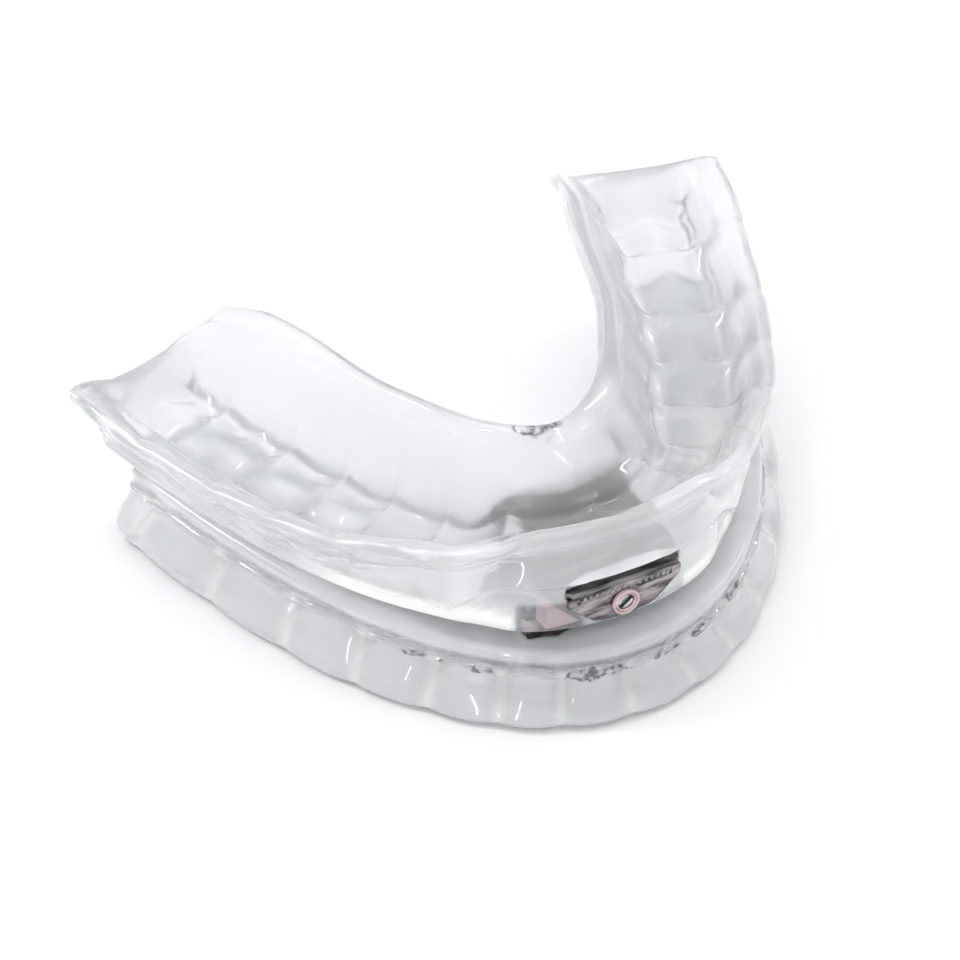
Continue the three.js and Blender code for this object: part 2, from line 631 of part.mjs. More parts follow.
const clip = ringY(CLIP_R, TAIL_R + 0.03, HOUSING.back + 0.05, HOUSING.back + 0.28);
add("tail_clip", geometryOf(clip), STEEL);
const seal = ringY(SEAL_R, BUSH_R + 0.1, HOUSING.front - 0.4, HOUSING.front - 0.05);
add("port_seal", geometryOf(seal), PINK);
add("housing_shim", geometryOf(pushedY(shimOutline, SHIM.front, SHIM.back)), PINK);
add("hook_carriage", hookCarriage(), STEEL);
add("hook", hook(), STEEL);
add("catch_plate", catchPlate(), DARK_STEEL);
add("catch_bar", geometryOf(rodX(BAR.r, -BAR.half, BAR.half, BAR.y, BAR.z)), STEEL);

// The frame's origin is the middle of the underside.
const extent = new THREE.Box3().setFromObject(group);
group.position.set(-(extent.min.x + extent.max.x) / 2, -(extent.min.y + extent.max.y) / 2, -extent.min.z);

export default group;
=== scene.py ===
# The looks of the clear two-piece dental splint: two trays with tooth sockets, and their metal coupling.
# Sections are worked out in millimetres along a dental arch, then placed in the CAD frame in metres.
import math

import bmesh
import bpy
import numpy as np
from mathutils import Matrix, Vector


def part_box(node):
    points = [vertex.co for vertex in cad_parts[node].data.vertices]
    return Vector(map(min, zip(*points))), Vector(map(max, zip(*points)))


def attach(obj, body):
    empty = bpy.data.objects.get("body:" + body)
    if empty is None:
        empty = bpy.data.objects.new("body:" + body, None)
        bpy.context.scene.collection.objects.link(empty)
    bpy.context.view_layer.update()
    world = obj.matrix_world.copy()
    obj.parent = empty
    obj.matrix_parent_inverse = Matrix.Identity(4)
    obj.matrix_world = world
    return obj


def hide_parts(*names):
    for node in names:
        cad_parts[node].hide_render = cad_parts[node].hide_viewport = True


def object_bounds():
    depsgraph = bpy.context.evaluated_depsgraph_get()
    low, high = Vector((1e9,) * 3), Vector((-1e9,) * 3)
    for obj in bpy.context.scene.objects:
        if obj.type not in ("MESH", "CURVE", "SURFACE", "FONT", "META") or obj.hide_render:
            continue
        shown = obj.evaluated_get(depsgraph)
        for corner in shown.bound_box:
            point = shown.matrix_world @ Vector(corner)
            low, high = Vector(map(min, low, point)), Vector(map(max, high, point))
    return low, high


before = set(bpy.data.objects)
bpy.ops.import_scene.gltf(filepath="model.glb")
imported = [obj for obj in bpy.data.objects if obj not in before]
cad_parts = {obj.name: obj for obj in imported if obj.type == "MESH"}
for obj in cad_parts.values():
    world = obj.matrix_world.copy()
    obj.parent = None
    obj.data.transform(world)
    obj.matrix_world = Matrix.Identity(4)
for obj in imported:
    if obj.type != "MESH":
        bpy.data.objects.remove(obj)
cad_low, cad_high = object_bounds()

MM = 0.001
BAR_Y = 3.4  # the catch bar's axis is at x 0 and this y in the trays' own frame, which places it in the CAD's
BAR_Z = 4.6
bar_low, bar_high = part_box("catch_bar")
ORIGIN_X = (bar_low.x + bar_high.x) / 2 / MM
ORIGIN_Y = (bar_low.y + bar_high.y) / 2 / MM - BAR_Y
BITE_Z = 8.5  # underside of the upper bite pad
PLATFORM_Z = 7.4  # edge of the lower bite pad's top

# ---- Camera ------------------------------------------------------------------------------------------------
AZIMUTH = -26.0
ELEVATION = 39.4
ROLL = 1.0
DISTANCE = 300.0
AIM = (0.0, 18.0, 8.5)  # the point the camera was fitted to, in the trays' frame
PAN = (-1.85, -1.73)  # how far the camera is moved sideways and up, which frames the object off centre
LENS = 124.65


def place(x, y, z):
    return Vector(((x + ORIGIN_X) * MM, (y + ORIGIN_Y) * MM, z * MM))


def make_camera():
    a, e, r = (math.radians(v) for v in (AZIMUTH, ELEVATION, ROLL))
    back = Vector((math.sin(a) * math.cos(e), -math.cos(a) * math.cos(e), math.sin(e)))
    right = Vector((math.cos(a), math.sin(a), 0))
    up = back.cross(right)
    right, up = right * math.cos(r) - up * math.sin(r), right * math.sin(r) + up * math.cos(r)
    camera = bpy.data.objects.new("camera", bpy.data.cameras.new("camera"))
    bpy.context.scene.collection.objects.link(camera)
    camera.data.lens = LENS
    camera.data.clip_start = 0.01
    spot = place(*AIM) + (back * DISTANCE + right * PAN[0] + up * PAN[1]) * MM
    turn = Matrix((right, up, back)).transposed().to_4x4()
    camera.matrix_world = Matrix.Translation(spot) @ turn
    bpy.context.scene.camera = camera


make_camera()

# ---- The arches --------------------------------------------------------------------------------------------
ARCH = {
    "upper": dict(half_width=26.5, depth=41.9, square=0.7, front=0.0, skew=2.8, flare=1.6),
    "lower": dict(half_width=26.0, depth=40.2, square=0.75, front=-3.9, skew=0.0, flare=1.5),
}
# Where one tooth ends and the next begins, by distance from the midline, and where the midline is.
TEETH = {
    "upper": dict(ends=(0, 7.9, 13.9, 20.2, 26.4, 33.2, 42.4, 50.0), midline=0.0),
    "lower": dict(ends=(0, 4.4, 8.4, 13.6, 19.9, 27.1, 35.8, 46.0, 52.0), midline=-0.8),
}
TRAY = {
    "upper": dict(
        rim_n=((0, 5.5), (12, 6.7), (24, 7.4), (37, 7.8), (46, 8.4), (55, 8.3)),
        rim_h=((0, 10.6), (5, 10.6), (12, 8.6), (24, 7.1), (37, 7.0), (55, 8.5)),
        floor_h=((0, 6.6), (7, 6.4), (13, 4.0), (22, 3.3), (52, 3.3)),
        floor_out=((0, 2.3), (12, 2.8), (22, 3.9), (52, 4.1)),
        floor_in=((0, 1.6), (12, 2.4), (22, 3.9), (52, 4.1)),
        gum_n=((0, 2.6), (12, 3.4), (22, 4.6), (52, 4.8)),
        gum_h=((0, 8.4), (12, 7.2), (24, 6.2), (52, 6.4)),
        inner_n=((0, 6.5), (12, 6.7), (24, 7.2), (38, 8.2), (48, 7.7), (55, 6.9)),
        inner_h=((0, 11.8), (24, 12.0), (42, 12.0), (55, 8.6)),
        pad_n=((0, 5.6), (6, 5.9), (10, 5.2), (14, 5.0), (52, 5.0)),
        pad_in=((0, 8.7), (6, 8.7), (12, 5.8), (52, 5.4)),
        pad_out_h=((0, 5.2), (7, 5.2), (13, 0.8), (52, 0.7)),
        pad_in_h=((0, 5.6), (7, 5.6), (13, 0.8), (52, 0.7)),
        crown=((0, 0.0), (52, 0.0)),
    ),
    "lower": dict(
        rim_n=((0, 5.7), (12, 6.0), (24, 6.4), (52, 6.2)),
        rim_h=((0, 7.4), (52, 7.4)),
        floor_h=((0, 3.2), (52, 3.1)),
        floor_out=((0, 1.9), (10, 2.2), (20, 3.6), (52, 3.9)),
        floor_in=((0, 1.2), (10, 1.6), (20, 3.4), (52, 3.7)),
        gum_n=((0, 1.9), (10, 2.2), (20, 3.5), (52, 3.8)),
        gum_h=((0, 5.2), (52, 5.2)),
        inner_n=((0, 2.2), (10, 2.5), (20, 3.6), (52, 3.9)),
        inner_h=((0, 7.4), (52, 7.4)),
        pad_n=((0, 4.3), (52, 4.3)),
        pad_in=((0, 3.9), (20, 4.5), (52, 4.4)),
        pad_out_h=((0, 0.7), (52, 0.7)),
        pad_in_h=((0, 0.7), (52, 0.7)),
        crown=((0, 0.0), (12, 0.0), (20, 0.7), (40, 0.7), (47, 0.4), (52, 0.4)),
    ),
}
WALL = 2.0  # a tray's full thickness, lining and shell together
STEP = 0.28  # spacing of the sections
ROUND = {"upper": 1.7, "lower": 3.0}  # how far from its end a tray starts to round off
ROUNDNESS = 2.6  # power of the curve it rounds off along
TIP_SECTIONS = 16  # sections in the rounded end
TIP_REACH = 0.985  # how far into the rounded end the last section is
CLOSE = 4.8  # how far from its end a trough starts to close
CLOSE_RISE = 0.7  # below 1 the closed end rises early from the outer rim to the inner one
CLOSE_DIP = {"right": 1.3, "left": 0.2}  # how far the upper tray's closed ends sag between the rims
HEEL = 3.0  # length at the end of the upper tray over which its inner rim drops
HEEL_DROP = 1.3
SPLINE_STEPS = 4  # points from one control point of a section to the next
SCALLOP = {"upper": 0.35, "lower": 0.95}  # how far the outer wall bulges over each tooth
EDGE_BEAD = {"upper": 0.0, "lower": 0.14}  # raised along the platform's edge
FRONT_TEETH = 3  # incisors and canine, on either side
PREMOLARS = 2


def smooth(t):
    t = np.clip(t, 0.0, 1.0)
    return t * t * (3 - 2 * t)


def profile(points, a):
    """The value at distance a from the middle, eased between the points."""
    at = np.array([p[0] for p in points], float)
    value = np.array([p[1] for p in points], float)
    i = np.clip(np.searchsorted(at, a), 1, len(at) - 1)
    t = smooth((a - at[i - 1]) / (at[i] - at[i - 1]))
    return value[i - 1] * (1 - t) + value[i] * t


class Arch:
    """The line through the middle of the teeth, by arc length from the midline."""

    def __init__(self, half_width, depth, square, front, skew, flare):
        self.u = np.linspace(0, 1, 2001)
        y = depth * (square * self.u**2 + (1 - square) * self.u**4)
        step = np.hypot(np.diff(half_width * self.u), np.diff(y))
        self.s = np.concatenate([[0], np.cumsum(step)])
        self.length = self.s[-1]
        self.shape = (half_width, depth, square, front, skew, flare)

    def at(self, s):
        half_width, depth, square, front, skew, flare = self.shape
        side = np.where(s < 0, -1.0, 1.0)
        u = np.interp(np.abs(s), self.s, self.u)
        flare = np.where(s < 0, 0.0, flare)
        x = half_width * u * side + flare * u**2 * (3 - 2 * u)
        y = front + depth * (square * u**2 + (1 - square) * u**4) + side * skew * u**3
        slope = depth * (2 * square * u + 4 * (1 - square) * u**3) + 3 * side * skew * u**2
        slope = slope / (half_width + 6 * flare * u * (1 - u))
        size = np.hypot(1, slope)
        return x, y, side * slope / size, -1 / size


def tooth_at(tray, s):
    """(which tooth, counted from the midline; position across it from -1 to 1) for every s."""
    ends = np.array(TEETH[tray]["ends"], float)
    a = np.abs(s - TEETH[tray]["midline"])
    i = np.clip(np.searchsorted(ends, a, side="right") - 1, 0, len(ends) - 2)
    mid, half = (ends[i] + ends[i + 1]) / 2, (ends[i + 1] - ends[i]) / 2
    return i, np.clip((a - mid) / half, -1, 1)


def offset_line(n, h, distance):
    """A line of points moved to the outer side, which is left of its direction, at every station."""
    dn = np.gradient(n, axis=1)
    dh = np.gradient(h, axis=1)
    size = np.hypot(dn, dh)
    return n - distance * dh / size, h + distance * dn / size


def catmull(points, each):
    """Closed centripetal-like spline through the points of every station: (stations, points, 2)."""
    p0, p1 = np.roll(points, 1, axis=1), points
    p2, p3 = np.roll(points, -1, axis=1), np.roll(points, -2, axis=1)
    d1 = np.linalg.norm(p2 - p1, axis=2, keepdims=True) + 1e-6
    d0 = np.linalg.norm(p1 - p0, axis=2, keepdims=True) + 1e-6
    d2 = np.linalg.norm(p3 - p2, axis=2, keepdims=True) + 1e-6
    m1 = (p2 - p1) * 0.5 + (p1 - p0) * 0.5 * d1 / d0
    m2 = (p2 - p1) * 0.5 + (p3 - p2) * 0.5 * d1 / d2
    cap = 1.2 * d1
    m1 = m1 * np.minimum(1, cap / (np.linalg.norm(m1, axis=2, keepdims=True) + 1e-9))
    m2 = m2 * np.minimum(1, cap / (np.linalg.norm(m2, axis=2, keepdims=True) + 1e-9))
    rows = []
    for k in range(each):
        t = k / each
        a = 2 * t**3 - 3 * t**2 + 1
        b = t**3 - 2 * t**2 + t
        c = -2 * t**3 + 3 * t**2
        d = t**3 - t**2
        rows.append(a * p1 + b * m1 + c * p2 + d * m2)
    return np.stack(rows, axis=2).reshape(points.shape[0], -1, 2)


def stations(length, rounding):
    inner = np.arange(0, length - rounding, STEP)
    tip = length - rounding + rounding * np.sin(np.linspace(0, math.pi / 2, TIP_SECTIONS)) * TIP_REACH
    half = np.concatenate([inner, tip])
    return np.concatenate([-half[:0:-1], half])


def tray_sections(tray, arch, s):
    """Control points (stations, points, 2) of (n, h), and which of them are tooth side."""
    spec = TRAY[tray]
    a = np.abs(s)
    v = {key: profile(value, a) for key, value in spec.items()}
    i, u = tooth_at(tray, s)
    plateau = 1 - np.abs(u) ** 3.0  # 1 over a tooth, 0 between two
    molar = i >= FRONT_TEETH + PREMOLARS
    premolar = (i >= FRONT_TEETH) & ~molar
    amp = np.select([molar, premolar], [0.7, 0.65], 0.65)
    septum = np.select([molar, premolar], [0.9, 0.9], 1.0) * (1 - plateau)
    cusp = np.select(
        [molar, premolar],
        [0.85 * np.exp(-(((np.abs(u) - 0.45) / 0.26) ** 2)), 0.9 * np.exp(-((u / 0.5) ** 2))],
        0.25 * np.exp(-((u / 0.6) ** 2)),
    )
    ridge = np.select([molar, premolar], [0.75 + 0.25 * np.cos(math.pi * u), 0.7], 0.0) * plateau
    pinch = amp * (1 - plateau)
    rim = v["rim_h"]
    heel = HEEL_DROP * smooth((a - arch.length + HEEL) / HEEL)
    inner_rim = v["inner_h"] - (heel if tray == "upper" else 0)
    wave = 0.3 * (plateau - 1) if tray == "upper" else -0.5 * (1 - plateau)
    floor = v["floor_h"]
    fo, fi = v["floor_out"], v["floor_in"]
    tooth = [
        (v["rim_n"] - 1.5, rim + wave - 0.25),
        (fo + 0.95 - 0.35 * pinch, floor + 0.72 * (rim - floor)),
        (fo + 0.5 - 0.8 * pinch, floor + 0.42 * (rim - floor)),
        (fo + 0.05 - pinch, floor + 0.75 + septum * 0.6),
        (fo * 0.72 - 0.6 * pinch, floor + 0.05 - 0.5 * cusp + septum),
        (fo * 0.38, floor + 0.1 - 0.35 * cusp + 0.4 * ridge + septum),
        (0 * fo, floor + ridge + septum),
        (-fi * 0.38, floor + 0.1 - 0.35 * cusp + 0.4 * ridge + septum),
        (-fi * 0.72 + 0.6 * pinch, floor + 0.05 - 0.5 * cusp + septum),
        (-fi - 0.05 + pinch, floor + 0.75 + septum * 0.6),
        (-(fi + v["gum_n"]) / 2 + 0.8 * pinch, (floor + 0.75 + v["gum_h"]) / 2),
        (-v["gum_n"] + 0.45 * pinch, v["gum_h"] + 0 * a),
        (-(v["gum_n"] + v["inner_n"]) / 2 + 0.15 * pinch, (v["gum_h"] + inner_rim) / 2),
        (-v["inner_n"] - 0.1, inner_rim - 0.4),
    ]
    n = np.stack([p[0] + 0 * a for p in tooth], axis=1)
    h = np.stack([p[1] + 0 * a for p in tooth], axis=1)
    # the trough's far end closes by rising to the line between the two rims
    closing = smooth((a - (arch.length - CLOSE)) / (CLOSE - ROUND[tray] + 0.6))[:, None]
    share = np.linspace(0, 1, h.shape[1])[None, :] ** CLOSE_RISE
    sag = np.where(s < 0, CLOSE_DIP["right"], CLOSE_DIP["left"])[:, None]
    dip = sag * np.sin(math.pi * share) if tray == "upper" else 0
    wall = rim[:, None] * (1 - share) + inner_rim[:, None] * share - 0.35 - dip
    h = np.where(h < wall, h * (1 - closing) + wall * closing, h)
    # the outer side: the tray's wall, then the bite pad under it
    base = [
        (v["rim_n"] - 1.55, rim + wave),
        (fo + 0.75, floor + 0.5 * (rim - floor)),
        (fo + 0.0, floor + 0.8),
        (-fi, floor + 0.8),
        (-(v["gum_n"]), v["gum_h"]),
        (-v["inner_n"], inner_rim),
    ]
    bn = np.stack([p[0] + 0 * a for p in base], axis=1)
    bh = np.stack([p[1] + 0 * a for p in base], axis=1)
    on, oh = offset_line(bn, bh, WALL)
    scallop = SCALLOP[tray] * (plateau - 0.85)
    pad_out, pad_in = v["pad_n"], v["pad_in"]
    crown = v["crown"]
    bead = EDGE_BEAD[tray]
    edge = 0.75 + 0.5 * (1 - plateau)  # the shell's wavy lower edge, above the pad
    high_out = np.maximum(v["pad_out_h"], edge + 0.8)
    inner_corner = (np.minimum(on[:, 3], -pad_in + 0.3) + on[:, 3]) / 2
    outer = [
        (-v["inner_n"] - 0.95, inner_rim - 0.03),
        (-v["inner_n"] - 1.7, inner_rim - 0.65),
        ((on[:, 5] + on[:, 4]) / 2, (inner_rim + v["gum_h"]) / 2 - 0.5),
        (on[:, 4] - 0.3 * scallop, oh[:, 4]),
        (inner_corner, np.maximum(oh[:, 3], v["pad_in_h"] + 0.3)),
        (-pad_in, v["pad_in_h"] * 0.55 + 0.3),
        (-pad_in + 0.02, 0.45 + 0 * a),
        (-pad_in + 0.35, 0.04 + 0 * a),
        (-pad_in * 0.6, -crown * 0.8),
        (0 * a, -crown),
        (pad_out * 0.6, -crown * 0.8),
        (pad_out - 0.3, -bead + 0 * a),
        (pad_out, 0.22 - 0.5 * bead + 0 * a),
        (pad_out + 0.03, 0.55 * high_out),
        (pad_out + 0.1, high_out - 0.16),
        (pad_out + 0.42, high_out + 0.1),
        (np.maximum(on[:, 2], pad_out + 0.2) + scallop, np.maximum(oh[:, 2] + 0.3, high_out + 0.8)),
        (on[:, 1] + scallop, oh[:, 1] + 0.4),
        (v["rim_n"] - 0.06 + 0.5 * scallop, rim + wave - 0.95),
        (v["rim_n"] - 0.25, rim + wave - 0.3),
        (v["rim_n"] - 0.85, rim + wave - 0.03),
    ]
    n = np.concatenate([n, np.stack([p[0] for p in outer], axis=1)], axis=1)
    h = np.concatenate([h, np.stack([p[1] for p in outer], axis=1)], axis=1)
    return np.stack([n, h], axis=2), len(tooth)


def tray_mesh(tray, name):
    """One closed mesh of a tray, with its point attributes painted."""
    arch = Arch(**ARCH[tray])
    rounding = ROUND[tray]
    s = stations(arch.length, rounding)
    controls, tooth_count = tray_sections(tray, arch, s)
    outline = catmull(controls, SPLINE_STEPS)
    count = outline.shape[1]
    # round the ends off: each outline shrinks towards its middle
    left = np.clip((arch.length - np.abs(s)) / rounding, 0, 1)
    size = (1 - (1 - left) ** ROUNDNESS) ** (1 / ROUNDNESS)
    middle = (outline.min(axis=1) + outline.max(axis=1)) / 2
    outline = middle[:, None, :] + (outline - middle[:, None, :]) * size[:, None, None]
    x, y, nx, ny = arch.at(s)
    n, h = outline[:, :, 0], outline[:, :, 1]
    z = BITE_Z + h if tray == "upper" else PLATFORM_Z - h
    px = x[:, None] + nx[:, None] * n
    py = y[:, None] + ny[:, None] * n
    rows = len(s)
    verts = np.stack([(px + ORIGIN_X) * MM, (py + ORIGIN_Y) * MM, z * MM], axis=2).reshape(-1, 3)
    mesh = bpy.data.meshes.new(name)
    faces = []
    for i in range(rows - 1):
        for j in range(count):
            a, b = i * count + j, i * count + (j + 1) % count
            faces.append((a, b, b + count, a + count))
    tips = []
    for first in (0, (rows - 1) * count):
        tips.append(len(verts) + len(tips))
        centre = tips[-1]
        for j in range(count):
            a, b = first + j, first + (j + 1) % count
            faces.append((b, a, centre) if first == 0 else (a, b, centre))
    ends = [verts[:count].mean(axis=0), verts[-count:].mean(axis=0)]
    mesh.from_pydata([tuple(v) for v in np.concatenate([verts, np.array(ends)])], [], faces)
    mesh.update()
    made = bpy.data.objects.new(name, mesh)
    bpy.context.scene.collection.objects.link(made)
    bm = bmesh.new()
    bm.from_mesh(mesh)
    bmesh.ops.recalc_face_normals(bm, faces=bm.faces)
    bm.to_mesh(mesh)
    bm.free()
    for face in mesh.polygons:
        face.use_smooth = True
    paint(mesh, tray, s, rows, count, tooth_count, h)
    return made


def paint(mesh, tray, s, rows, count, tooth_count, h):
    """Point attributes for the material.

    socket is 1 on the tooth side; web is made light-toned and cloudy, which is painted light: between two
    teeth partly cloudier plastic and partly painted light piped through the thin walls, and on the pad's face
    beside the housing a painted highlight; milk is cloudy, and stain is where grey stains may lie. rank
    counts the control points round a section."""
    rank = np.arange(count)[None, :] / SPLINE_STEPS
    _, u = tooth_at(tray, s)
    web = np.exp(-(((1 - np.abs(u)) / 0.16) ** 2))[:, None]
    outer = rank > tooth_count
    flags = {"socket": ((rank > 0.5) & (rank < tooth_count - 1.3)) * np.ones((rows, 1))}
    front = smooth((24 - np.abs(s)) / 8)[:, None]
    middle = smooth((14 - np.abs(s)) / 4)[:, None]
    if tray == "lower":
        wall = smooth((h - 1.0) / 1.2) * smooth((7.3 - h) / 0.8)
        platform = smooth((1.0 - h) / 0.5) * outer
        # painted light: the walls between the teeth are made light-toned and cloudy, partly for cloudier
        # plastic there and partly for the light piped through them
        flags["web"] = 0.6 * web * wall * outer
        flags["milk"] = outer * (0.8 * wall * (1 - web) + 1.0 * platform)
        near_crown = np.exp(-(((h - 2.0 - 0.5 * web) / 0.6) ** 2))
        front = front * (0.6 + 0.4 * np.exp(-(((s - 2.0) / 10.0) ** 4)))[:, None]
        low_spots = np.exp(-(((h - 6.9) / 0.5) ** 2)) * web
        flags["stain"] = outer * (1.3 * near_crown * front + 0.55 * low_spots)
    else:
        pad_face = outer & (rank > tooth_count + 9)
        near_shim = smooth((-s - 2.6) / 0.3) * smooth((7.2 + s) / 0.5)
        low_face = smooth((2.3 + 1.2 * near_shim[:, None] - h) / 0.5) * pad_face
        # painted highlight: the pad's face beside the housing is made light-toned, but it stays clear in
        # front of the shim and the anchor pin
        highlight_beside_housing = smooth((np.where(s < 0, -s - 6.8, s - 3.8)) / 0.5) * smooth((26 - np.abs(s)) / 6)
        high_face = pad_face * middle * (1 - low_face * np.maximum(highlight_beside_housing, near_shim)[:, None])
        flags["web"] = low_face * highlight_beside_housing[:, None]
        flags["milk"] = np.maximum(high_face, 0.45 * outer * (1 - low_face * near_shim[:, None]))
        along_rim = np.exp(-(((s + 4.5) / 6.5) ** 2))[:, None]
        across_rim = np.exp(-((rank - tooth_count) ** 2))
        flags["stain"] = 1.4 * along_rim * across_rim
    for key, value in flags.items():
        flat = np.zeros(len(mesh.vertices), np.float32)
        flat[: rows * count] = np.clip(value, 0, 1).astype(np.float32).ravel()
        mesh.attributes.new(key, "FLOAT", "POINT").data.foreach_set("value", flat)


def prism(outline, y_front, y_back):
    """A closed prism with an outline of (x, z) in millimetres, along y."""
    bm = bmesh.new()
    rings = [[bm.verts.new(place(x, y, z)) for x, z in outline] for y in (y_front, y_back)]
    bm.faces.new(rings[0])
    bm.faces.new(rings[1][::-1])
    for k in range(len(outline)):
        m = (k + 1) % len(outline)
        bm.faces.new((rings[0][k], rings[1][k], rings[1][m], rings[0][m]))
    bmesh.ops.recalc_face_normals(bm, faces=bm.faces)
    mesh = bpy.data.meshes.new("cutter")
    bm.to_mesh(mesh)
    bm.free()
    cutter = bpy.data.objects.new("cutter", mesh)
    bpy.context.scene.collection.objects.link(cutter)
    return cutter


def cut(made, cutter):
    """Cuts the cutter out of the piece for good, and removes the cutter."""
    boolean = made.modifiers.new("cut", "BOOLEAN")
    boolean.operation = "DIFFERENCE"
    boolean.solver = "EXACT"
    boolean.object = cutter
    depsgraph = bpy.context.evaluated_depsgraph_get()
    result = bpy.data.meshes.new_from_object(made.evaluated_get(depsgraph))
    made.modifiers.clear()
    old = made.data
    made.data = result
    bpy.data.meshes.remove(old)
    bpy.data.objects.remove(cutter)


# Outlines of (x, z) cut out of the upper tray: the recess that shows the housing's front, the ledge above it,
# the channel inside the housing, the slot for the carriage's neck, and the room for the screw's tail.
RECESS_OUTLINE = (
    (-2.1, 8.8), (2.1, 8.8), (3.2, 9.25), (5.4, 11.2), (5.4, 13.2),
    (3.5, 13.9), (-3.5, 13.9), (-5.4, 13.2), (-5.4, 11.2), (-3.2, 9.25),
)
LEDGE_OUTLINE = ((-5.4, 12.1), (5.4, 12.1), (5.4, 13.1), (3.5, 13.7), (-3.5, 13.7), (-5.4, 13.1))
CAVITY_OUTLINE = ((-2.4, 8.9), (2.4, 8.9), (4.7, 11.5), (4.7, 12.13), (-4.7, 12.13), (-4.7, 11.5))
SLOT_OUTLINE = ((-1.45, 7.0), (1.45, 7.0), (1.45, 9.0), (-1.45, 9.0))
TAIL_OUTLINE = ((-1.15, 8.95), (1.15, 8.95), (1.15, 11.25), (-1.15, 11.25))
CUTS = (  # (outline, y of its front, y of its back), in the order they are cut
    (RECESS_OUTLINE, -9.0, -5.38),
    (LEDGE_OUTLINE, -5.5, -4.3),
    (CAVITY_OUTLINE, -4.0, 6.3),
    (SLOT_OUTLINE, -2.6, 6.3),
    (TAIL_OUTLINE, 7.0, 8.0),
)
EDGE = 0.05 * MM  # radius of the metal pieces' edges
EDGE_ANGLE = math.radians(35)  # edges sharper than this are worn round

# ---- Turned pieces of the coupling -------------------------------------------------------------------------
SCREW_Z = BITE_Z + 1.6
RIVETS = ((-4.95, -4.2), (4.95, -4.2), (-4.95, 5.3), (4.95, 5.3))  # (x, y) of each
TURNS = 64  # facets round a turned piece
SLOT_TURN = math.radians(40)  # which way the key slot lies
SLOT_SHARE = 0.42  # its half width as a share of its half length
SLOT_ROWS = 4  # rings of the screw that shape it


def new_piece(name, bm):
    bmesh.ops.recalc_face_normals(bm, faces=bm.faces)
    mesh = bpy.data.meshes.new(name)
    bm.to_mesh(mesh)
    bm.free()
    for face in mesh.polygons:
        face.use_smooth = True
    made = bpy.data.objects.new(name, mesh)
    bpy.context.scene.collection.objects.link(made)
    return made


def skin(bm, first, second, slot=0):
    """Faces between two rings of points; a ring may be a single point."""
    for k in range(TURNS):
        m = (k + 1) % TURNS
        corners = [first[k % len(first)], first[m % len(first)]]
        corners += [second[m % len(second)], second[k % len(second)]]
        bm.faces.new(dict.fromkeys(corners)).material_index = slot


def turned(name, outline, at, axis="y", closed=True):
    """Turns an outline of (radius, distance along the axis) about an axis through a point in millimetres.

    A closed outline makes a ring; an open one starts and ends on the axis."""
    bm = bmesh.new()
    rings = []
    for radius, along in outline:
        ring = []
        for k in range(1 if radius == 0 else TURNS):
            turn = 2 * math.pi * k / TURNS
            p, q = radius * math.cos(turn), radius * math.sin(turn)
            spot = {"x": (along, p, q), "y": (p, along, q), "z": (p, q, along)}[axis]
            ring.append(bm.verts.new(place(*(a + b for a, b in zip(at, spot)))))
        rings.append(ring)
    for first, second in zip(rings, rings[1:] + rings[:1] if closed else rings[1:]):
        skin(bm, first, second)
    return new_piece(name, bm)


def rounded_ring(inner, outer, low, high, radius, steps=4):
    """The section of a ring with rounded corners, as (radius, distance) points."""
    corners = ((outer, high, 0), (inner, high, 1), (inner, low, 2), (outer, low, 3))
    outline = []
    for r, t, quarter in corners:
        centre_r = r - radius if r == outer else r + radius
        centre_t = t - radius if t == high else t + radius
        for k in range(steps + 1):
            turn = math.pi / 2 * (quarter + k / steps)
            outline.append((centre_r + radius * math.cos(turn), centre_t + radius * math.sin(turn)))
    return outline


def lead_screw():
    """The screw: a head with a key slot, a helical thread, a plain tail."""
    root, crest, pitch, tail = 0.56, 0.7, 0.5, 0.42
    head, head_front, head_back, thread_back, tail_back = 0.72, -5.65, -4.0, 6.1, 7.7
    key, key_back = 0.58, -4.65
    rows = [(key * 0.2, key_back), (key, key_back), (key, head_front + 0.08), (key + 0.08, head_front)]
    rows += [(head - 0.08, head_front), (head, head_front + 0.08)]
    rows += [(head, head_back - 0.05), (head - 0.05, head_back)]
    start = len(rows)
    rows += [(root, head_back + pitch / 12 * k) for k in range(int((thread_back - head_back) * 12 / pitch))]
    stop = len(rows)
    rows += [(root, thread_back), (tail, thread_back + 0.1)]
    rows += [(tail, tail_back - 0.08), (tail - 0.08, tail_back), (0, tail_back)]
    bm = bmesh.new()
    rings = [[bm.verts.new(place(0, key_back, SCREW_Z))]]
    for i, (radius, along) in enumerate(rows):
        ring = []
        for k in range(1 if radius == 0 else TURNS):
            turn = 2 * math.pi * k / TURNS
            r = radius
            if i < SLOT_ROWS:
                across = abs(math.sin(turn - SLOT_TURN))
                r = min(radius, radius * SLOT_SHARE / max(across, 0.01))
            if start < i < stop - 1:
                phase = (along / pitch - turn / (2 * math.pi)) % 1
                fade = min(1, (i - start) / 12, (stop - 1 - i) / 12)
                r = root + (crest - root) * fade * min(1, max(0, 1.6 - abs(phase - 0.5) * 4))
            ring.append(bm.verts.new(place(r * math.cos(turn), along, SCREW_Z + r * math.sin(turn))))
        rings.append(ring)
    for i, (first, second) in enumerate(zip(rings, rings[1:])):
        skin(bm, first, second, slot=int(i < SLOT_ROWS - 1))  # the slot's bottom and walls take near-black metal, painted shade for the dark inside the slot
    return new_piece("adjusting_screw", bm)


def catch_bar():
    half, r, bevel = 6.1, 0.8, 0.12
    outline = [(0, -half), (r - bevel, -half), (r, -half + bevel)]
    outline += [(r, half - bevel), (r - bevel, half), (0, half)]
    return turned("round_catch_bar", outline, (0, BAR_Y, BAR_Z), "x", closed=False)


def anchor_pin():
    """A pin buried in the clear part of the upper pad."""
    r, low, high, bevel = 0.62, 10.0, 12.1, 0.1
    outline = [(0, low), (r, low), (r, high - bevel), (r - bevel, high), (0, high)]
    return turned("anchor_pin", outline, (-8.1, -3.3, 0), "z", closed=False)


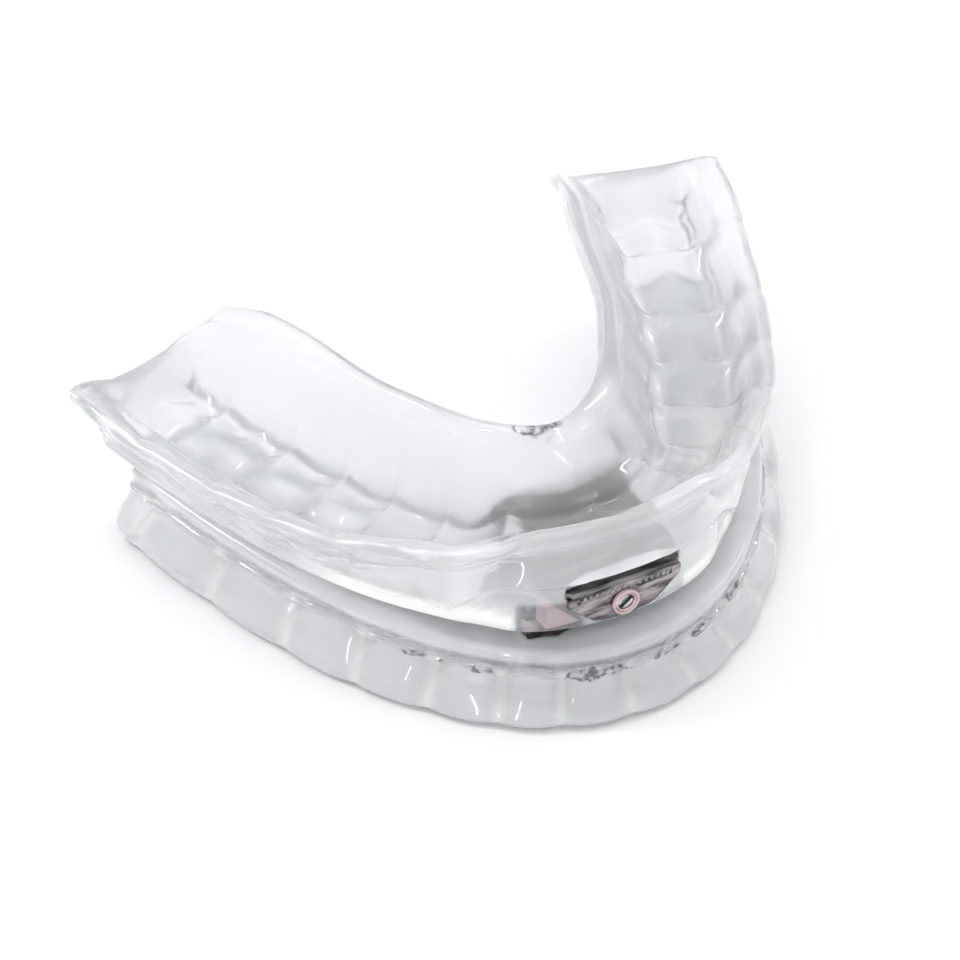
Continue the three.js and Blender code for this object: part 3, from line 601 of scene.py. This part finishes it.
def rivet(name, x, y):
    top, rim, stem, low = 12.76, 0.5, 0.32, 12.13
    dome_height, dome_turn = 0.14, 1.2
    fall = dome_height / (1 - math.cos(dome_turn))
    dome = [(rim * math.sin(a), top - fall * (1 - math.cos(a))) for a in np.linspace(0, dome_turn, 6)]
    dome[0] = (0, top)
    outline = dome + [(rim, top - 0.16), (stem, top - 0.12), (stem, low), (0, low)]
    return turned(name, outline, (x, y, 0), "z", closed=False)


# ---- Materials ---------------------------------------------------------------------------------------------
def node_material(name):
    material = bpy.data.materials.new(name)
    material.use_nodes = True
    nodes = material.node_tree.nodes
    return material, nodes, material.node_tree.links, nodes["Principled BSDF"]


def math_node(nodes, links, operation, first, second):
    """A math node; first and second are sockets or plain numbers."""
    made = nodes.new("ShaderNodeMath")
    made.operation = operation
    for socket, value in zip(made.inputs, (first, second)):
        if isinstance(value, (int, float)):
            socket.default_value = value
        else:
            links.new(value, socket)
    return made.outputs[0]


def attribute(nodes, name):
    made = nodes.new("ShaderNodeAttribute")
    made.attribute_name = name
    return made.outputs["Fac"]


def noise_node(nodes, links, scale, detail):
    place_at = nodes.new("ShaderNodeTexCoord")
    made = nodes.new("ShaderNodeTexNoise")
    made.inputs["Scale"].default_value = scale
    made.inputs["Detail"].default_value = detail
    links.new(place_at.outputs["Object"], made.inputs["Vector"])
    return made.outputs["Fac"]


def spread_node(nodes, links, value, low_in, high_in, low_out, high_out):
    made = nodes.new("ShaderNodeMapRange")
    links.new(value, made.inputs["Value"])
    made.inputs["From Min"].default_value = low_in
    made.inputs["From Max"].default_value = high_in
    made.inputs["To Min"].default_value = low_out
    made.inputs["To Max"].default_value = high_out
    return made.outputs["Result"]


def mix_colour(nodes, links, share, first, second):
    """Mixes two colours; each is a socket or a plain colour."""
    made = nodes.new("ShaderNodeMix")
    made.data_type = "RGBA"
    links.new(share, made.inputs["Factor"])
    for key, value in (("A", first), ("B", second)):
        socket = next(i for i in made.inputs if i.name == key and i.type == "RGBA")
        if isinstance(value, tuple):
            socket.default_value = value
        else:
            links.new(value, socket)
    return next(o for o in made.outputs if o.type == "RGBA")


def clear_material(name):
    """Milky clear acrylic, polished outside, with light-toned webs between the teeth and beside the housing,
    which are painted light (between the teeth partly cloudier plastic too), and grey stains under them.
    """
    material, nodes, links, shader = node_material(name)
    thick = math_node(nodes, links, "MULTIPLY", attribute(nodes, "milk"), -MILKINESS)
    # painted light: the webs let less light through, so they show light-toned
    webs = math_node(nodes, links, "MULTIPLY", attribute(nodes, "web"), -WEB_CLOUD_AND_PAINTED_LIGHT)
    shader.inputs["IOR"].default_value = ACRYLIC_IOR
    shader.inputs["Coat Weight"].default_value = 1.0
    shader.inputs["Coat Roughness"].default_value = COAT_ROUGHNESS
    shader.inputs["Coat IOR"].default_value = COAT_IOR
    cloud = noise_node(nodes, links, 170, 3)
    tone = mix_colour(nodes, links, spread_node(nodes, links, cloud, 0.35, 0.65, 0, 1), COOL, MILK)
    tone = mix_colour(nodes, links, attribute(nodes, "milk"), tone, LAVENDER)
    # painted light: the webs take a cream tone
    tone = mix_colour(nodes, links, attribute(nodes, "web"), tone, CREAM_WITH_PAINTED_LIGHT)
    speckle = spread_node(nodes, links, noise_node(nodes, links, 1500, 6), 0.38, 0.56, 0, 1)
    reach = math_node(nodes, links, "MULTIPLY", attribute(nodes, "stain"), 0.35)
    reach = math_node(nodes, links, "ADD", reach, noise_node(nodes, links, 330, 2))
    stain = math_node(nodes, links, "MULTIPLY", speckle, spread_node(nodes, links, reach, 0.74, 0.82, 0, 1))
    allowed = spread_node(nodes, links, attribute(nodes, "stain"), 0, 0.3, 0, 1)
    stain = math_node(nodes, links, "MULTIPLY", stain, allowed)
    stained = math_node(nodes, links, "MULTIPLY", stain, -STAIN_MILKINESS)
    clear = math_node(nodes, links, "ADD", math_node(nodes, links, "ADD", thick, webs), stained)
    clear = math_node(nodes, links, "ADD", clear, TRANSMISSION)
    links.new(clear, shader.inputs["Transmission Weight"])
    tone = mix_colour(nodes, links, stain, tone, STAIN)
    links.new(tone, shader.inputs["Base Color"])
    rough = math_node(nodes, links, "MULTIPLY", attribute(nodes, "socket"), 0.26)
    rough = math_node(nodes, links, "ADD", rough, spread_node(nodes, links, cloud, 0.3, 0.7, 0.12, 0.2))
    links.new(rough, shader.inputs["Roughness"])
    bump = nodes.new("ShaderNodeBump")
    bump.inputs["Strength"].default_value = 0.3
    bump.inputs["Distance"].default_value = 0.1 * MM
    ripple = math_node(nodes, links, "MULTIPLY", noise_node(nodes, links, 560, 0), 0.35)
    height = math_node(nodes, links, "ADD", noise_node(nodes, links, 210, 0), ripple)
    links.new(height, bump.inputs["Height"])
    links.new(bump.outputs["Normal"], shader.inputs["Normal"])
    links.new(bump.outputs["Normal"], shader.inputs["Coat Normal"])
    absorb = nodes.new("ShaderNodeVolumeAbsorption")
    absorb.inputs["Color"].default_value = DEPTH_COLOUR
    absorb.inputs["Density"].default_value = DEPTH_DENSITY
    links.new(absorb.outputs["Volume"], nodes["Material Output"].inputs["Volume"])
    return material


def metal_material(name, dark, light, rough, grain):
    """Ground metal: a base that varies between two tones, scratches, and a fine bump."""
    material, nodes, links, shader = node_material(name)
    shader.inputs["Metallic"].default_value = 1.0
    place_at = nodes.new("ShaderNodeTexCoord")
    stretch = nodes.new("ShaderNodeMapping")
    stretch.inputs["Scale"].default_value = (0.25, 1.0, 1.0)
    links.new(place_at.outputs["Object"], stretch.inputs["Vector"])
    noise = nodes.new("ShaderNodeTexNoise")
    noise.inputs["Scale"].default_value = grain
    noise.inputs["Detail"].default_value = 8
    links.new(stretch.outputs["Vector"], noise.inputs["Vector"])
    ramp = nodes.new("ShaderNodeValToRGB")
    ramp.color_ramp.elements[0].position = 0.4
    ramp.color_ramp.elements[0].color = dark
    ramp.color_ramp.elements[1].position = 0.62
    ramp.color_ramp.elements[1].color = light
    links.new(noise.outputs["Fac"], ramp.inputs["Fac"])
    links.new(ramp.outputs["Color"], shader.inputs["Base Color"])
    spread = nodes.new("ShaderNodeMapRange")
    spread.inputs["To Min"].default_value = rough - 0.1
    spread.inputs["To Max"].default_value = rough + 0.15
    links.new(noise.outputs["Fac"], spread.inputs["Value"])
    links.new(spread.outputs["Result"], shader.inputs["Roughness"])
    bump = nodes.new("ShaderNodeBump")
    bump.inputs["Strength"].default_value = 0.6
    bump.inputs["Distance"].default_value = 0.06 * MM
    links.new(noise.outputs["Fac"], bump.inputs["Height"])
    links.new(bump.outputs["Normal"], shader.inputs["Normal"])
    return material


def soft_material(name, low, high, transmission):
    """Rose silicone or resin, mottled and slightly see-through."""
    material, nodes, links, shader = node_material(name)
    shader.inputs["Roughness"].default_value = 0.4
    shader.inputs["Transmission Weight"].default_value = transmission
    place_at = nodes.new("ShaderNodeTexCoord")
    noise = nodes.new("ShaderNodeTexNoise")
    noise.inputs["Scale"].default_value = 900
    noise.inputs["Detail"].default_value = 4
    links.new(place_at.outputs["Object"], noise.inputs["Vector"])
    ramp = nodes.new("ShaderNodeValToRGB")
    ramp.color_ramp.elements[0].color = low
    ramp.color_ramp.elements[1].color = high
    links.new(noise.outputs["Fac"], ramp.inputs["Fac"])
    links.new(ramp.outputs["Color"], shader.inputs["Base Color"])
    return material


ACRYLIC_IOR = 1.36
COAT_ROUGHNESS = 0.03
COAT_IOR = 1.5
DEPTH_COLOUR = (0.8, 0.84, 0.87, 1)  # what thick acrylic tints towards
DEPTH_DENSITY = 10.0
TRANSMISSION = 0.84  # of acrylic that is neither milky nor stained
MILKINESS = 0.3  # how much less light a milky stretch, a web or a stain lets through
STAIN_MILKINESS = 0.4
# painted light: how much less light the webs let through, partly for cloudier plastic
WEB_CLOUD_AND_PAINTED_LIGHT = 0.66
LAVENDER = (0.945, 0.96, 0.975, 1)
COOL = (0.935, 0.95, 0.965, 1)
MILK = (0.955, 0.958, 0.97, 1)
# painted light: the cream tone of the webs, partly the plastic's own
CREAM_WITH_PAINTED_LIGHT = (0.97, 0.965, 0.94, 1)
STAIN = (0.11, 0.118, 0.14, 1)
ACRYLIC = clear_material("clear_acrylic")
STEEL = metal_material("ground_metal", (0.07, 0.064, 0.068, 1), (0.5, 0.46, 0.48, 1), 0.45, 1300)
DARK_STEEL = metal_material("dark_metal", (0.08, 0.078, 0.076, 1), (0.32, 0.31, 0.3, 1), 0.5, 1100)
# painted shade: near-black metal that stands in for the shade deep inside the screw's key slot
SLOT_SHADE_METAL = metal_material("painted_slot_shade", (0.01, 0.01, 0.01, 1), (0.05, 0.05, 0.05, 1), 0.6, 1100)
PIN_METAL = metal_material("pin_metal", (0.07, 0.085, 0.11, 1), (0.3, 0.35, 0.42, 1), 0.35, 900)
PLATE_METAL = metal_material("plate_metal", (0.07, 0.07, 0.06, 1), (0.3, 0.3, 0.27, 1), 0.4, 900)
BRIGHT = metal_material("bright_metal", (0.5, 0.48, 0.47, 1), (0.8, 0.77, 0.76, 1), 0.25, 1500)
ROSE = soft_material("rose_silicone", (0.66, 0.4, 0.44, 1), (0.88, 0.7, 0.73, 1), 0.15)
PALE_ROSE = soft_material("rose_resin", (0.8, 0.5, 0.57, 1), (0.9, 0.68, 0.73, 1), 0.2)
ROSE_METAL = metal_material("rose_metal", (0.5, 0.38, 0.39, 1), (0.85, 0.72, 0.72, 1), 0.4, 1500)

# ---- Pieces ------------------------------------------------------------------------------------------------
def finish_piece(made, body, slot, material, *nodes):
    made.data.materials.append(material)
    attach(made, body)
    if nodes:
        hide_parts(*nodes)


for tray, body in (("upper", "upper_tray"), ("lower", "lower_tray")):
    made = tray_mesh(tray, f"{tray}_clear_tray")
    if tray == "upper":
        for outline, y_front, y_back in CUTS:
            cut(made, prism(outline, y_front, y_back))
    finish_piece(made, body, "clear_acrylic", ACRYLIC, f"{tray}_liner", f"{tray}_shell", f"{tray}_bite_pad")

for made, body, slot, material, node in (
    (lead_screw(), "screw", "bright_steel", BRIGHT, "lead_screw"),
    (catch_bar(), "lower_tray", "brushed_metal", STEEL, "catch_bar"),
    (turned("bushing_ring", rounded_ring(0.77, 1.02, -5.7, -4.1, 0.06), (0, 0, SCREW_Z)),
     "upper_tray", "bright_steel", ROSE_METAL, "port_bushing"),
    (turned("seal_ring", rounded_ring(1.04, 1.27, -5.8, -5.42, 0.1), (0, 0, SCREW_Z)),
     "upper_tray", "rose_silicone", ROSE, "port_seal"),
    (turned("washer_ring", rounded_ring(0.75, 0.95, -3.95, -3.6, 0.04), (0, 0, SCREW_Z)),
     "screw", "bright_steel", BRIGHT, "thrust_washer"),
    (turned("clip_ring", rounded_ring(0.45, 1.0, 7.15, 7.38, 0.05), (0, 0, SCREW_Z)),
     "screw", "bright_steel", BRIGHT, "tail_clip"),
):
    finish_piece(made, body, slot, material, node)
bpy.data.objects["adjusting_screw"].data.materials.append(SLOT_SHADE_METAL)
finish_piece(anchor_pin(), "upper_tray", "brushed_metal", PIN_METAL)
for i, (x, y) in enumerate(RIVETS, start=1):
    made = rivet(f"domed_rivet_{i}", x, y)
    finish_piece(made, "upper_tray", "brushed_metal", STEEL, f"cover_rivet_{i}")

LOOK = {"cover_plate": DARK_STEEL, "catch_plate": PLATE_METAL, "housing_shim": PALE_ROSE}
for name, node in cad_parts.items():
    node.data.materials.clear()
    node.data.materials.append(LOOK.get(name, STEEL))
    bevel = node.modifiers.new("worn edges", "BEVEL")
    bevel.width = EDGE
    bevel.segments = 2
    bevel.angle_limit = EDGE_ANGLE

# ---- Studio ------------------------------------------------------------------------------------------------
FLOOR_REACH = 3.0
FLOOR_GAP = 0.02 * MM  # below the lowest point of the CAD


def make_floor():
    mesh = bpy.data.meshes.new("floor")
    corners = [(x * FLOOR_REACH, y * FLOOR_REACH, 0) for x, y in ((-1, -1), (1, -1), (1, 1), (-1, 1))]
    mesh.from_pydata(corners, [], [(0, 1, 2, 3)])
    floor = bpy.data.objects.new("floor", mesh)
    bpy.context.scene.collection.objects.link(floor)
    material, nodes, links, shader = node_material("pale_floor")
    shader.inputs["Base Color"].default_value = (0.93, 0.93, 0.935, 1)
    shader.inputs["Roughness"].default_value = 0.9
    shader.inputs["Specular IOR Level"].default_value = 0.0
    mesh.materials.append(material)
    floor.location.z = cad_low.z - FLOOR_GAP


def make_world():
    world = bpy.data.worlds.new("studio")
    bpy.context.scene.world = world
    world.use_nodes = True
    nodes, links = world.node_tree.nodes, world.node_tree.links
    where = nodes.new("ShaderNodeTexCoord")
    split = nodes.new("ShaderNodeSeparateXYZ")
    links.new(where.outputs["Generated"], split.inputs["Vector"])
    ramp = nodes.new("ShaderNodeValToRGB")
    ramp.color_ramp.elements[0].position = 0.0
    ramp.color_ramp.elements[0].color = (0.82, 0.83, 0.85, 1)
    ramp.color_ramp.elements[1].position = 0.75
    ramp.color_ramp.elements[1].color = (0.95, 0.955, 0.965, 1)
    links.new(split.outputs["Z"], ramp.inputs["Fac"])
    links.new(ramp.outputs["Color"], nodes["Background"].inputs["Color"])
    nodes["Background"].inputs["Strength"].default_value = 0.95
    # what the camera sees past the floor is plain and pale
    backdrop = nodes.new("ShaderNodeBackground")
    backdrop.inputs["Color"].default_value = (0.96, 0.96, 0.965, 1)
    seen = nodes.new("ShaderNodeLightPath")
    mix = nodes.new("ShaderNodeMixShader")
    links.new(seen.outputs["Is Camera Ray"], mix.inputs["Fac"])
    links.new(nodes["Background"].outputs[0], mix.inputs[1])
    links.new(backdrop.outputs[0], mix.inputs[2])
    links.new(mix.outputs[0], nodes["World Output"].inputs["Surface"])


LIGHT_AIM = Vector((0.0, 0.0, 0.01))
LIGHTS = (  # (name, place, width, length, watts)
    ("key_strip", (-0.35, 0.25, 0.5), 0.022, 0.3, 0.85),
    ("side_strip", (0.5, 0.05, 0.35), 0.02, 0.25, 0.5),
    ("front_strip", (-0.42, -0.4, 0.22), 0.02, 0.3, 0.3),
    ("top_soft", (0.0, 0.1, 0.8), 0.4, 0.4, 0.55),
    ("glint_1", (0.27, -0.16, 0.74), 0.012, 0.1, 0.15),
    ("glint_2", (0.08, -0.34, 0.72), 0.012, 0.1, 0.15),
    ("glint_3", (-0.3, -0.1, 0.74), 0.012, 0.1, 0.15),
)


def add_light(name, spot, size, size_y, power):
    data = bpy.data.lights.new(name, "AREA")
    data.shape = "RECTANGLE"
    data.size = size
    data.size_y = size_y
    data.energy = power
    light = bpy.data.objects.new(name, data)
    bpy.context.scene.collection.objects.link(light)
    light.location = spot
    light.rotation_mode = "QUATERNION"
    light.rotation_quaternion = (LIGHT_AIM - Vector(spot)).to_track_quat("-Z", "Y")


make_floor()
make_world()
for light in LIGHTS:
    add_light(*light)
bpy.context.scene.view_settings.view_transform = "Standard"
bpy.context.scene.view_settings.look = "None"
